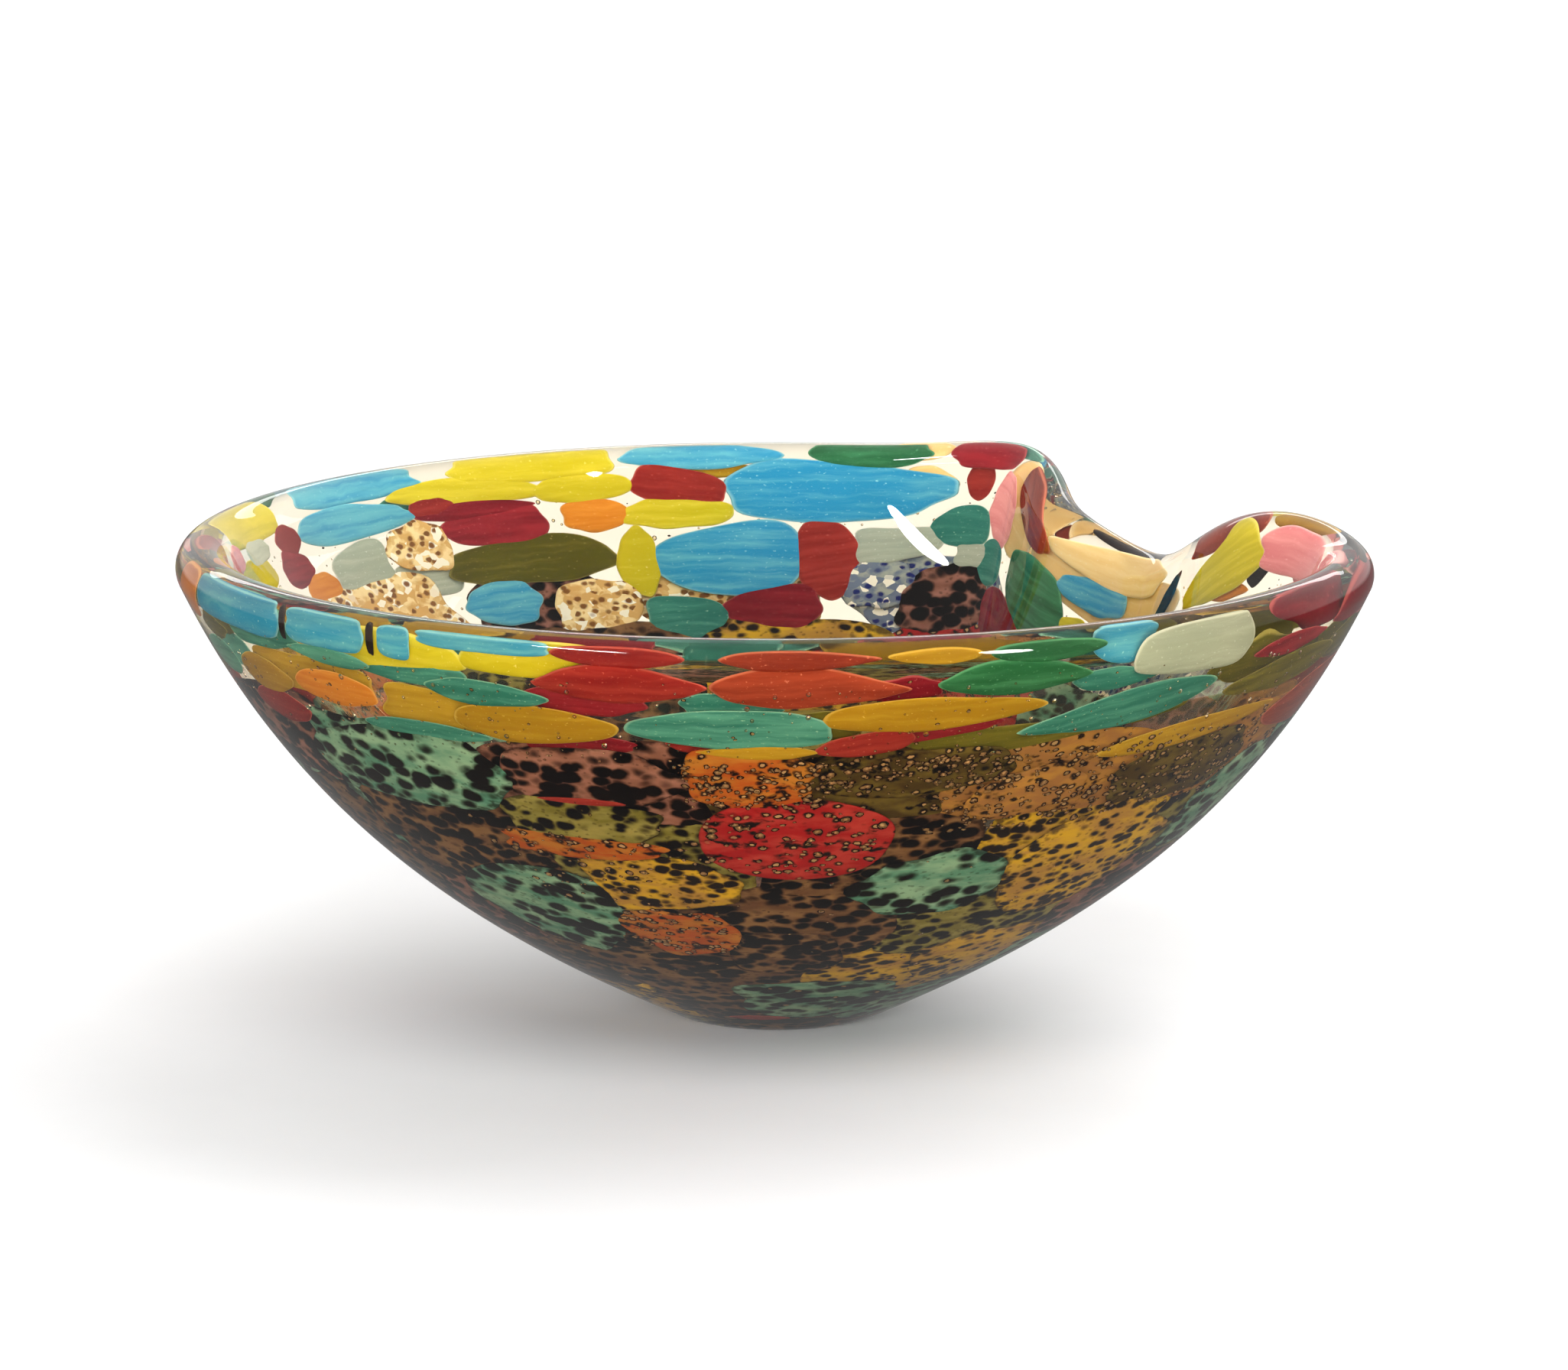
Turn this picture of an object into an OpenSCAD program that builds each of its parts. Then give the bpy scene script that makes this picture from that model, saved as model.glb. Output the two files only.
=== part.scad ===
/* [Bowl outline] */
// Radius of the flat foot
foot_r = 13.2; // [11:0.2:16]
// Angle at which the wall leaves the foot, from level
foot_slope = 25.5; // [22:0.5:29]
// How far the wall keeps the foot's angle
foot_pull = 28; // [23:1:34]
// Outside radius of the wall where the lip begins
rim_r = 79.8; // [75:0.2:85]
// Height of the wall where the lip begins
rim_z = 60; // [55:0.5:66]
// Angle of the wall at the lip, from level
rim_slope = 64.5; // [60:0.5:69]
// How far down the wall keeps the lip's angle
rim_pull = 37; // [32:0.5:42]

/* [Folded side] */
// Direction of the fold's middle
fold_at = 38.5; // [34:0.5:43]
// How far the fold pushes the rim inwards
fold_in = 15; // [9:0.5:17]
// Half width of the fold on its left side, in degrees
fold_left = 18.5; // [17:0.5:23]
// Half width of the fold on its right side, in degrees
fold_right = 35; // [30:1:40]
// How square the fold is in plan
fold_power = 4.4; // [3:0.1:4.8]
// Direction of the lowest place of the rim
dip_at = 32; // [28:1:36]
// How far the rim dips there
dip = 7.8; // [3:0.2:9]
// Half width of the dip on its left side, in degrees
dip_left = 21.5; // [18:0.5:25]
// Half width of the dip on its right side, in degrees
dip_right = 20; // [17:0.5:24]
// Direction of the lobe beside the fold
lobe_at = 10; // [6:1:14]
// How far the lobe rises
lobe_rise = 4.3; // [1:0.1:5]
// Half width of the lobe, in degrees
lobe_half = 12; // [10:0.5:15]
// Direction of the fold's other shoulder
peak_at = 61.5; // [58:0.5:65]
// How far that shoulder rises
peak_rise = 2.3; // [0:0.1:3]
// Half width of that shoulder, in degrees
peak_half = 11; // [9:0.5:14]

/* [Glass] */
// Thickness of the whole wall, and of the round lip
wall_t = 7; // [6.6:0.1:8]
// Thickness over the foot
foot_t = 10; // [9:0.2:12]
// Thickness of the inner lining
lining_t = 2.3; // [2:0.1:2.4]
// Thickness of one layer of tesserae
tessera_t = 0.7; // [0.5:0.05:0.8]
// Clear gap round each layer of tesserae
layer_gap = 0.22; // [0.15:0.01:0.24]
// Number of loose aventurine flakes
flakes = 108; // [20:10:160]

/* [Hidden] */

// Share of the wall's run, from the axis, that the foot takes
foot_share = 0.15;
// Share at which the fold starts to show
fold_share = 0.35;
// The mosaic layer lies between the casing and the lining, and runs up into the lip
mosaic_t = 2 * tessera_t + 4.5 * layer_gap;
join_rise = 2.5;

// Azimuths of the shells' columns, closer together over the fold
columns = concat([for (i = [0:26]) -12 + 3.2 * i], [for (i = [0:48]) 75 + 5.6 * i]);
// Shares of the wall's run for the shells' rings, from the foot to the lip
rings = [for (i = [0:14]) foot_share + (1 - foot_share) * i / 14];
// Steps of a quarter turn of the lip
lip_steps = 3;
// Cross rungs of one tessera
rungs = 7;

// ---- the wall's surface ----

function bezier(a, b, c, d, t) =
    pow(1 - t, 3) * a + 3 * pow(1 - t, 2) * t * b + 3 * (1 - t) * t * t * c + t * t * t * d;

// [radius, height] of the plain bowl's outside at share s, as a shallow dome under the foot
function outline(s) =
    s < foot_share
    ? let (a = foot_slope * s / foot_share, dome_r = foot_r / sin(foot_slope))
        [dome_r * sin(a), dome_r * (cos(foot_slope) - cos(a))]
    : bezier(
        [foot_r, 0],
        [foot_r, 0] + foot_pull * [cos(foot_slope), sin(foot_slope)],
        [rim_r, rim_z] - rim_pull * [cos(rim_slope), sin(rim_slope)],
        [rim_r, rim_z],
        (s - foot_share) / (1 - foot_share)
    );

// Signed angle from b to a, between -180 and 180
function turn(a, b) = (a - b + 900) % 360 - 180;

// Bell with its own half width on each side
function bell(d, left, right, power) = exp(-pow(abs(d) / (d > 0 ? left : right), power));

// Point of the outside at azimuth az and share s
function skin(az, s) =
    let (
        o = outline(s),
        w = pow(max(0, s - fold_share) / (1 - fold_share), 1.5),
        r = o[0] - fold_in * w * bell(turn(az, fold_at), fold_left, fold_right, fold_power),
        drop = dip * w * bell(turn(az, dip_at), dip_left, dip_right, 2),
        lobe = lobe_rise * pow(w, 1.5) * bell(turn(az, lobe_at), lobe_half, lobe_half, 2),
        peak = peak_rise * pow(w, 1.5) * bell(turn(az, peak_at), peak_half, peak_half, 2)
    )
    [r * cos(az), r * sin(az), o[1] - drop + lobe + peak];

function unit(v) = v / norm(v);
function around(az, s) = unit(skin(az + 0.05, s) - skin(az - 0.05, s));
function upwards(az, s) = unit(skin(az, s + 0.001) - skin(az, s - 0.001));
function outward(az, s) = unit(cross(around(az, s), upwards(az, s)));

// Whole wall's thickness at share s
function thickness(s) =
    let (q = min(1, s / 0.5)) foot_t + (wall_t - foot_t) * q * q * (3 - 2 * q);

// Point at a depth measured outwards from the inside of the wall
function inside_plus(az, s, t) = skin(az, s) - (thickness(s) - t) * outward(az, s);

// Point of the lip: side +1 is outside, -1 is inside, rise is along the wall
function lip_point(az, side, rise) =
    let (n = outward(az, 1), up = unit(cross(n, around(az, 1))))
    skin(az, 1) + (side - wall_t / 2) * n + rise * up;

function lip_arc(az, a) = lip_point(az, wall_t / 2 * cos(a), wall_t / 2 * sin(a));

// ---- shells ----

// Closed skin through rings of equal length, from one end cap to the other. mirrored picks the
// other diagonal of every quad, so that two skins can share a surface
module loft(loops, mirrored = false) {
    n = len(loops[0]);
    points = [for (ring = loops) each ring];
    last = (len(loops) - 1) * n;
    faces = concat(
        [[for (i = [0:n - 1]) i]],
        [for (k = [0:len(loops) - 2], i = [0:n - 1])
            each let (a = k * n + i, b = k * n + (i + 1) % n)
                mirrored ? [[a, a + n, b + n], [a, b + n, b]] : [[a, a + n, b], [b, a + n, b + n]]],
        [[for (i = [n - 1:-1:0]) last + i]]
    );
    polyhedron(points, faces);
}

// Rings of a surface at depth t from the inside, from the lip down to a small cap at the axis
function inner_rings(t) =
    [for (k = [len(rings) - 1:-1:-1])
        let (s = k < 0 ? 0.05 : rings[k])
        [for (az = columns) inside_plus(az, s, t)]];

module outer_casing() {
    t = lining_t + mosaic_t;
    color([0.86, 0.80, 0.62, 0.35])
    loft(concat(
        [[for (az = columns) let (p = skin(az, foot_share)) [p[0], p[1], 0]]],
        [for (k = [1:len(rings) - 1]) [for (az = columns) skin(az, rings[k])]],
        [for (k = [1:lip_steps]) [for (az = columns) lip_arc(az, 90 * k / lip_steps)]],
        [[for (az = columns) lip_point(az, 0, join_rise)]],
        [[for (az = columns) lip_point(az, t - wall_t / 2, join_rise)]],
        inner_rings(t)
    ));
}

module inner_lining() {
    top = len(rings) - 1;
    lining_back = inner_rings(lining_t);
    lining_face = inner_rings(0);
    color([0.90, 0.84, 0.66, 0.35])
    loft(concat(
        [for (k = [len(lining_back) - 1:-1:0]) lining_back[k]],
        [[for (az = columns) lip_point(az, lining_t - wall_t / 2, join_rise)]],
        [[for (az = columns) lip_point(az, 0, join_rise)]],
        [for (k = [0:lip_steps]) [for (az = columns) lip_arc(az, 90 + 90 * k / lip_steps)]],
        [for (k = [1:top + 1]) lining_face[k]]
    ), mirrored = true);
}

// ---- tesserae ----

// How square an outline is: 2 is an ellipse, more is a block
OVAL = 1.9;
BLOCK = 4;

// Depth of a layer's near face from the inside of the wall: 0 lies under the casing, 1 on the lining
function layer_depth(layer) = lining_t + (layer == 0 ? 2.5 * layer_gap + tessera_t : layer_gap);

// Millimetres along the wall for one whole share, measured away from the fold
function mm_per_share(s) = norm(skin(270, s + 0.01) - skin(270, s - 0.01)) / 0.02;

// One tessera's points, rung by rung, near face first. row is [azimuth, percent up the wall,
// length, height, tilt, layer], and lanes is the number of points on each rung
function tessera_points(row, power, wobble, lanes) =
    let (
        s0 = row[1] / 100,
        mm_up = mm_per_share(s0),
        degrees_per_mm = 180 / (PI * outline(s0)[0]),
        depth = layer_depth(row[5])
    )
    [for (side = [tessera_t, 0], i = [0:rungs - 1], j = [0:lanes - 1])
        let (
            q = -0.98 * cos(180 * i / (rungs - 1)),
            edge = 1 - 2 * j / (lanes - 1),
            uneven = 1 + wobble * sin(67 * i + 5 * row[0] + 40 * edge),
            u = row[2] / 2 * q,
            v = edge * row[3] / 2 * pow(1 - pow(abs(q), power), 1 / power) * uneven,
            across = u * cos(row[4]) - v * sin(row[4]),
            up = u * sin(row[4]) + v * cos(row[4])
        )
        inside_plus(row[0] + across * degrees_per_mm, s0 + up / mm_up, depth + side)];

// Two triangles between the points a and b of one edge and c and d of the next
function quad(a, b, c, d) = [[a, c, b], [b, c, d]];

// Triangles of the tessera whose first point is start
function tessera_faces(start, lanes) =
    let (far = rungs * lanes, end = (rungs - 1) * lanes)
    [
        for (i = [0:rungs - 2], j = [0:lanes - 2])
            each let (p = start + i * lanes + j)
                concat(quad(p, p + 1, p + lanes, p + lanes + 1),
                       quad(p + far, p + far + lanes, p + far + 1, p + far + lanes + 1)),
        for (i = [0:rungs - 2])
            each let (p = start + i * lanes, q = p + lanes - 1)
                concat(quad(p, p + lanes, p + far, p + far + lanes),
                       quad(q, q + far, q + lanes, q + far + lanes)),
        for (j = [0:lanes - 2])
            each let (p = start + j, q = p + end)
                concat(quad(p, p + far, p + 1, p + far + 1), quad(q, q + 1, q + far, q + far + 1))
    ];

module tesserae(rows, power = OVAL, wobble = 0, lanes = 2) {
    polyhedron(
        [for (row = rows) each tessera_points(row, power, wobble, lanes)],
        [for (k = [0:len(rows) - 1]) each tessera_faces(2 * lanes * rungs * k, lanes)]
    );
}

// Each row is [azimuth, percent up the wall, length, height, tilt, layer]
turquoise = [
    [265.2, 92.8, 26.6, 5.8, 0, 0], [241, 96, 17, 3.4, -2, 0], [222, 98, 15, 2, -3, 0],
    [197, 93.8, 13, 5, 0, 0], [232, 89.9, 20, 2.4, 0, 0], [233, 97.2, 15, 1.8, 0, 1],
    [265.6, 95.6, 11, 2.2, 0, 1], [211, 98.6, 17, 2.4, 0, 1], [306, 93.2, 31, 5.4, 9, 0],
    [304, 97, 12, 2, 0, 1], [135.4, 98, 9, 2.4, 0, 0], [68.2, 92.2, 8, 5, 0, 1],
    [101.4, 79.8, 11, 5.2, 0, 1], [62.5, 88, 5, 5.6, 0, 1], [63, 101.2, 12, 1.2, 0, 0]
];
sky_blue = [
    [206.4, 100.4, 25, 3.6, 0, 0], [222.4, 100.4, 14.5, 3.2, 0, 0], [231.7, 100.4, 4.6, 2.8, 0, 0],
    [241.6, 101.1, 19, 1.4, 0, 0], [304.5, 100.4, 9, 2.6, 0, 1], [142.5, 100.7, 27, 2.2, 0, 1],
    [144, 97, 27, 4, 0, 1], [98.6, 100.8, 24, 1.9, 0, 1], [82.6, 96.6, 34, 7.6, 0, 1],
    [96, 87.8, 21, 10, 0, 1], [126, 83.8, 12, 6, 0, 1], [41, 94.4, 16, 5, -6, 1]
];
red = [
    [255, 98.1, 23, 4.6, 0, 0], [255, 100.8, 17, 1.8, 0, 0], [278.8, 90.8, 12.5, 3, 9, 0],
    [208, 89.2, 15, 4.6, 0, 0], [157, 97, 6, 3, 0, 1], [263, 90.4, 9, 1.6, 0, 1],
    [248, 81.35, 13, 0.7, 0, 0], [261, 18.6, 8, 1.6, 0, 0], [131.5, 97.2, 7, 1.4, 0, 1],
    [101, 97.4, 13, 4.2, 8, 1], [84, 87.8, 8, 11, -10, 1], [77, 90.6, 7, 2, -18, 0],
    [67, 98.2, 4, 6, 0, 0]
];
coral = [
    [273, 98, 25, 4.8, 0, 0], [272, 100.8, 20, 1.8, 0, 0], [344, 88.8, 32, 9, 5, 0],
    [53.6, 98.7, 10.4, 4.6, 33, 1], [183, 100.6, 10, 2.4, 0, 1], [15, 100.8, 16, 2.4, 0, 0],
    [189, 89, 9, 4, 0, 0]
];
orange = [
    [221, 93.8, 16, 4.8, 0, 0], [193.2, 99.8, 9.4, 4.6, 0, 0], [111, 94.4, 9, 3.4, 0, 1],
    [12, 93.6, 8, 2.4, 0, 0], [154.4, 89.8, 8, 4, 0, 1]
];
mustard = [
    [245.4, 92.4, 23, 5.6, 0, 0], [285.5, 94.6, 29, 4.6, 2, 0], [268, 89.8, 15, 1.6, 0, 0],
    [318, 88.4, 33, 3.2, 6, 0], [208.5, 93.4, 14, 5.6, 0, 0], [217, 94.6, 24, 5, 0, 1],
    [235, 92.6, 18, 5.2, 0, 1], [98, 99.4, 20, 1.6, 0, 0], [284.6, 100.9, 12, 1.2, 0, 0],
    [4, 101, 12, 1.4, 0, 0]
];
lime = [
    [231, 98.8, 22, 2, 0, 1], [247, 99.6, 20, 1.8, 0, 1], [101.5, 94.2, 16, 3.4, 0, 1],
    [127, 98.7, 26, 2.2, 2, 1], [106.8, 87.8, 5, 9.6, 0, 1], [171, 94.4, 17, 4.4, 0, 1],
    [118, 100.6, 28, 2.2, 0, 1], [112, 97.8, 15, 3, 0, 1], [14, 96.4, 15, 7.6, -24, 1],
    [166, 100, 22, 3.6, 0, 1], [43.4, 88, 6, 3.4, 0, 1], [171, 101, 14, 1.8, 0, 0],
    [14, 97.6, 10, 4, 0, 0]
];
olive = [
    [293, 90.2, 24, 2.6, 3, 1], [330, 94.2, 28, 5, 5, 0], [120.4, 89.2, 28, 6, 0, 1],
    [199, 97.4, 8, 2.6, 0, 1], [348, 95.6, 22, 4, 4, 1], [29, 89.5, 10, 2.6, 0, 1],
    [184, 91.6, 13, 5, 0, 1], [324, 96.4, 20, 5, 2, 1], [309, 93, 15, 4, 5, 1],
    [274.5, 93, 9.6, 3, 0, 1]
];
green = [
    [293, 98.4, 21, 4, 0, 0], [296, 100.8, 16, 1.8, 0, 0], [79.5, 101, 18, 2.2, 0, 1],
    [51.5, 89, 12, 11, 0, 1], [157, 101.2, 10, 1.2, 0, 0]
];
burgundy = [
    [251, 95.6, 16, 3.4, 0, 1], [250, 89.8, 14, 1.8, 0, 1], [286, 92.4, 16, 2.4, 4, 1],
    [281, 97.4, 12, 1.6, 0, 1], [329, 97.8, 18, 2.6, 3, 0], [124, 94, 17, 4.4, 0, 1],
    [126.4, 96.3, 20, 1, 0, 1], [90.5, 80.9, 13, 5.8, 0, 1], [65.5, 100.8, 12, 2.4, 0, 1],
    [57.6, 81.8, 12, 7.4, 0, 1], [158, 93.4, 8, 4, 0, 1], [333, 100.2, 22, 2.4, 0, 1],
    [345, 99.4, 22, 2.4, 3, 0]
];
pink = [
    [61.6, 95, 7, 9, 10, 1], [2, 98.4, 16, 4.6, 0, 1], [175.4, 97.8, 8, 2.2, 0, 1],
    [350, 98.9, 13, 1.8, 0, 1], [178, 96.4, 12, 2.8, 0, 0], [357, 96.4, 13, 4.4, 0, 0]
];
cream = [
    [38, 98.9, 31, 4.8, -4, 1], [37, 95, 42, 12, 0, 0], [58.6, 95.5, 14, 12, 0, 0],
    [73, 97.6, 9, 5, 0, 0], [74, 101.2, 9, 1.2, 0, 0]
];
white = [
    [313, 99.3, 20, 5.8, 2, 0], [75.5, 90, 12, 3.6, -6, 1], [145.5, 91, 12, 6.6, 0, 1],
    [135, 88.6, 12, 5, 0, 0], [66, 88.6, 4, 2.2, 0, 1], [166, 97.1, 8, 2, 0, 1]
];
canes = [
    [24.5, 95.4, 3, 11, 28, 1], [7.4, 97, 3, 8, 30, 0], [353.5, 101, 12, 1.2, 0, 0],
    [37, 101.3, 22, 0.8, 0, 0], [216.3, 100.4, 0.9, 3.2, 0, 0], [228.8, 100.4, 0.9, 3.2, 0, 0]
];

// Large body patches, laid like bricks on the lining. Each course is [percent up from, to, first
// azimuth, kinds of its patches from there on round the bowl]
courses = [
    [78.2, 88.6, 250, "MGAATo----CYMT"],
    [64, 78.2, 226, "BOBYOMTRYBOET"],
    [46.5, 64, 272, "BOMYTOBTRMB"],
    [30.5, 46.5, 253, "BYTBOMYB"],
    [17.5, 30.5, 266, "BTOMY"],
    [3, 17.5, 290, "BMO"]
];
course_gap = 1;

function course_rows(kind) =
    [for (c = courses, i = [0:len(c[3]) - 1]) if (c[3][i] == kind)
        let (
            n = len(c[3]),
            up = (c[0] + c[1]) / 2,
            length = 2 * PI * outline(up / 100)[0] / n - course_gap,
            height = (c[1] - c[0]) / 100 * mm_per_share(up / 100) - course_gap
        )
        [c[2] + 360 / n * i, up, length, height, 0, 1]];

// Patches that stand out on the outside lie over them, under the casing
teal_over = [
    [225, 83.4, 33, 12, 0, 0], [233, 57.8, 20, 20, -20, 0], [291, 65.2, 17, 13, 0, 0],
    [283, 28, 19, 16, 0, 0], [338, 74, 19, 18, 0, 0]
];
mauve_over = [
    [249.5, 85.1, 23, 7.8, 0, 0], [68.5, 82.4, 13, 9.4, 0, 1], [121.4, 83.2, 20, 9.6, 0, 0]
];
olive_over = [
    [247, 77.6, 20, 6.8, 0, 0], [184, 79, 22, 12, 0, 0], [39.5, 82.6, 12.5, 8, 0, 1]
];
mustard_over = [
    [254.6, 65.8, 18, 10.6, 0, 0], [314, 67, 24, 20, 0, 0], [312, 43.2, 17, 15, 0, 0]
];
brown_over = [
    [202, 67, 19, 22, 0, 0], [272, 47.6, 12, 12, 0, 0]
];
red_over = [
    [272.3, 75.2, 23, 14.2, 0, 0]
];
orange_over = [
    [267, 85.6, 16, 7.6, 0, 0], [254.6, 53.6, 14, 10, 0, 0], [246, 73, 21, 3, -4, 0],
    [153, 83.8, 10, 6, 0, 0]
];
olive_sparkle = [
    [285, 86.4, 22, 6.4, 3, 0], [320, 82.4, 24, 9, 4, 0]
];
gold_sparkle = [
    [298, 82, 14, 6.4, 4, 0]
];
cream_mottled = [
    [135.2, 92.6, 10.6, 5.4, 0, 1], [113, 82.2, 12, 6.4, 0, 1], [44.3, 83.4, 28, 11, 0, 0],
    [95.7, 83.4, 28, 11, 0, 0]
];
blue_mottled = [
    [70, 83.4, 27, 11, 0, 0], [77.4, 84.6, 8.4, 6, 0, 1]
];

module patches(kind, over) {
    tesserae(concat(over, course_rows(kind)), BLOCK, 0.06, 3);
}

module turquoise_tesserae() { color([0.30, 0.60, 0.54]) tesserae(turquoise); }
module sky_blue_tesserae() { color([0.29, 0.62, 0.72]) tesserae(sky_blue, 3); }
module red_tesserae() { color([0.75, 0.16, 0.13]) tesserae(red); }
module coral_tesserae() { color([0.86, 0.36, 0.28]) tesserae(coral); }
module orange_tesserae() { color([0.85, 0.52, 0.18]) tesserae(orange); }
module mustard_tesserae() { color([0.72, 0.56, 0.14]) tesserae(mustard); }
module lime_tesserae() { color([0.70, 0.68, 0.18]) tesserae(lime); }
module olive_tesserae() { color([0.40, 0.38, 0.16]) tesserae(olive, 3); }
module green_tesserae() { color([0.17, 0.47, 0.27]) tesserae(green); }
module burgundy_tesserae() { color([0.46, 0.14, 0.18]) tesserae(burgundy); }
module pink_tesserae() { color([0.86, 0.55, 0.56]) tesserae(pink); }
module cream_tesserae() { color([0.90, 0.76, 0.52]) tesserae(cream, 3); }
module white_tesserae() { color([0.80, 0.81, 0.74]) tesserae(white, BLOCK); }
module dark_canes() { color([0.15, 0.10, 0.09]) tesserae(canes); }
module teal_leopard_patches() { color([0.28, 0.46, 0.40]) patches("T", teal_over); }
module mauve_leopard_patches() { color([0.48, 0.34, 0.30]) patches("M", mauve_over); }
module olive_leopard_patches() { color([0.40, 0.40, 0.22]) patches("O", olive_over); }
module mustard_leopard_patches() { color([0.58, 0.44, 0.16]) patches("Y", mustard_over); }
module brown_leopard_patches() { color([0.26, 0.19, 0.15]) patches("B", brown_over); }
module red_aventurine_patches() { color([0.66, 0.15, 0.13]) patches("R", red_over); }
module orange_aventurine_patches() { color([0.68, 0.36, 0.16]) patches("E", orange_over); }
module olive_aventurine_patches() { color([0.30, 0.26, 0.14]) patches("G", olive_sparkle); }
module gold_aventurine_patches() { color([0.48, 0.32, 0.16]) patches("A", gold_sparkle); }
module mottled_cream_patches() { color([0.80, 0.68, 0.50]) patches("C", cream_mottled); }
module mottled_blue_patches() { color([0.45, 0.48, 0.55]) patches("o", blue_mottled); }

// Loose flakes lie on the outer layer, mostly on the sparkling front patches
flake_r = 0.5;
flake_t = 0.2;

// Point of flake k's place, turned by a fixed step so that the flakes never line up
function flake_spot(k) =
    let (az = 262 + (k * 39.6) % 64, up = 69.5 + (k * 2.85) % 19)
    [az, up / 100];

function flake_points(k) =
    let (
        spot = flake_spot(k),
        c = inside_plus(spot[0], spot[1], layer_depth(0) + tessera_t + 0.5 * layer_gap + flake_t / 2),
        n = outward(spot[0], spot[1]),
        u = around(spot[0], spot[1]),
        v = cross(n, u)
    )
    [c + flake_t / 2 * n, c - flake_t / 2 * n,
     c + flake_r * u, c + flake_r * v, c - flake_r * u, c - flake_r * v];

module aventurine_flakes() {
    color([0.80, 0.58, 0.32])
    polyhedron(
        [for (k = [0:flakes - 1]) each flake_points(k)],
        [for (k = [0:flakes - 1], i = [0:3])
            each let (b = 6 * k, p = b + 2 + i, q = b + 2 + (i + 1) % 4) [[b, q, p], [b + 1, p, q]]]
    );
}

outer_casing();
inner_lining();
turquoise_tesserae();
sky_blue_tesserae();
red_tesserae();
coral_tesserae();
orange_tesserae();
mustard_tesserae();
lime_tesserae();
olive_tesserae();
green_tesserae();
burgundy_tesserae();
pink_tesserae();
cream_tesserae();
white_tesserae();
dark_canes();
teal_leopard_patches();
mauve_leopard_patches();
olive_leopard_patches();
mustard_leopard_patches();
brown_leopard_patches();
red_aventurine_patches();
orange_aventurine_patches();
olive_aventurine_patches();
gold_aventurine_patches();
mottled_cream_patches();
mottled_blue_patches();
aventurine_flakes();
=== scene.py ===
import math

import bpy
import numpy as np
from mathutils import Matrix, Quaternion, Vector


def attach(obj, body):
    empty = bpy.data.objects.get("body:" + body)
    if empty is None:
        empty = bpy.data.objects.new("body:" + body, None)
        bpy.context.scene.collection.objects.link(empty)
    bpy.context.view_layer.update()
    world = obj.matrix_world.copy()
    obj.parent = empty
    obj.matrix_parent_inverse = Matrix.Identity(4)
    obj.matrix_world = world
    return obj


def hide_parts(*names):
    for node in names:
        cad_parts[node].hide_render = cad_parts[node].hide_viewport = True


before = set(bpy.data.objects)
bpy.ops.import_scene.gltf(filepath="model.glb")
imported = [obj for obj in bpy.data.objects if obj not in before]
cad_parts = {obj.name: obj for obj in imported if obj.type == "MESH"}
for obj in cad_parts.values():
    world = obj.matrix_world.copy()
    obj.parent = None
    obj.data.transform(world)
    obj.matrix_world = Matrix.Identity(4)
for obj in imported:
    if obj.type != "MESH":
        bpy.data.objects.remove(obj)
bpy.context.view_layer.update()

MM = 0.001

# ---- the bowl's surface, in millimetres and degrees, as the CAD model has it ----

FOOT_R, FOOT_SLOPE, FOOT_PULL, FOOT_SHARE = 13.2, 25.5, 28, 0.15
RIM_R, RIM_Z, RIM_SLOPE, RIM_PULL = 79.8, 60.0, 64.5, 37
FOLD_AT, FOLD_IN, FOLD_LEFT, FOLD_RIGHT, FOLD_POWER, FOLD_SHARE = 38.5, 15, 18.5, 35, 4.4, 0.35
DIP_AT, DIP, DIP_LEFT, DIP_RIGHT = 32, 7.8, 21.5, 20
LOBE_AT, LOBE_RISE, LOBE_HALF = 10, 4.3, 12
PEAK_AT, PEAK_RISE, PEAK_HALF = 61.5, 2.3, 11
WALL_T, FOOT_T, LINING_T, TESSERA_T, GAP, JOIN_RISE = 7, 10, 2.3, 0.7, 0.22, 2.5
MOSAIC_T = 2 * TESSERA_T + 4.5 * GAP


def slope(angle):
    return np.array([math.cos(math.radians(angle)), math.sin(math.radians(angle))])


FOOT_END, RIM_END = np.array([FOOT_R, 0.0]), np.array([RIM_R, RIM_Z])
WALL_CURVE = (
    FOOT_END,
    FOOT_END + FOOT_PULL * slope(FOOT_SLOPE),
    RIM_END - RIM_PULL * slope(RIM_SLOPE),
    RIM_END,
)


def outline(s):
    """Radius and height of the plain bowl's outside at share s of the wall's run."""
    s = np.asarray(s, float)
    t = ((s - FOOT_SHARE) / (1 - FOOT_SHARE))[..., None]
    a, b, c, d = WALL_CURVE
    wall = (1 - t) ** 3 * a + 3 * (1 - t) ** 2 * t * b + 3 * (1 - t) * t * t * c + t**3 * d
    cos_foot, sin_foot = slope(FOOT_SLOPE)
    dome_r = FOOT_R / sin_foot
    angle = np.radians(FOOT_SLOPE * s / FOOT_SHARE)
    dome = np.stack([dome_r * np.sin(angle), dome_r * (cos_foot - np.cos(angle))], -1)
    return np.where((s < FOOT_SHARE)[..., None], dome, wall)


def bell(az, middle, left, right, power):
    d = (az - middle + 900) % 360 - 180
    return np.exp(-np.abs(d / np.where(d > 0, left, right)) ** power)


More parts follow.
